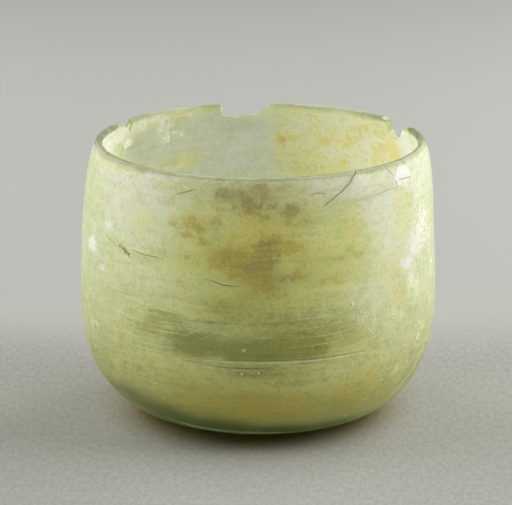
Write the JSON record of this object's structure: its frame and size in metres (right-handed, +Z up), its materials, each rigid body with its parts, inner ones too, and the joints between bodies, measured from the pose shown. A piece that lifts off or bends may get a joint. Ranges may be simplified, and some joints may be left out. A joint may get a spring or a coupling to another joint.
{
  "type": "blown glass bowl",
  "caption": "Round free-blown glass bowl with near-upright sides, a small resting base, a broken and mended rim, and layers of soil and white weathering on the wall.",
  "frame": {"origin": "middle of the flat ring that the bowl rests on, at the bottom of the bowl", "axes": "+Z up along the axis on which the bowl was blown; -Y towards the front, the side that the picture shows; +X to that view's right"},
  "size_m": [0.1, 0.1, 0.0775],
  "materials": {
    "weathered_glass": "satin",
    "sherd_glass": "satin",
    "soil_deposit": "matte",
    "soil_stain": "matte",
    "white_weathering": "matte",
    "white_flakes": "matte"
  },
  "bodies": {
    "root": {"vessel_body": "weathered_glass", "rim_sherd": "sherd_glass", "soil_crust_back": "soil_deposit", "soil_crust_front": "soil_stain", "white_crust_right": "white_weathering", "white_crust_left": "white_flakes"}
  },
  "joints": []
}
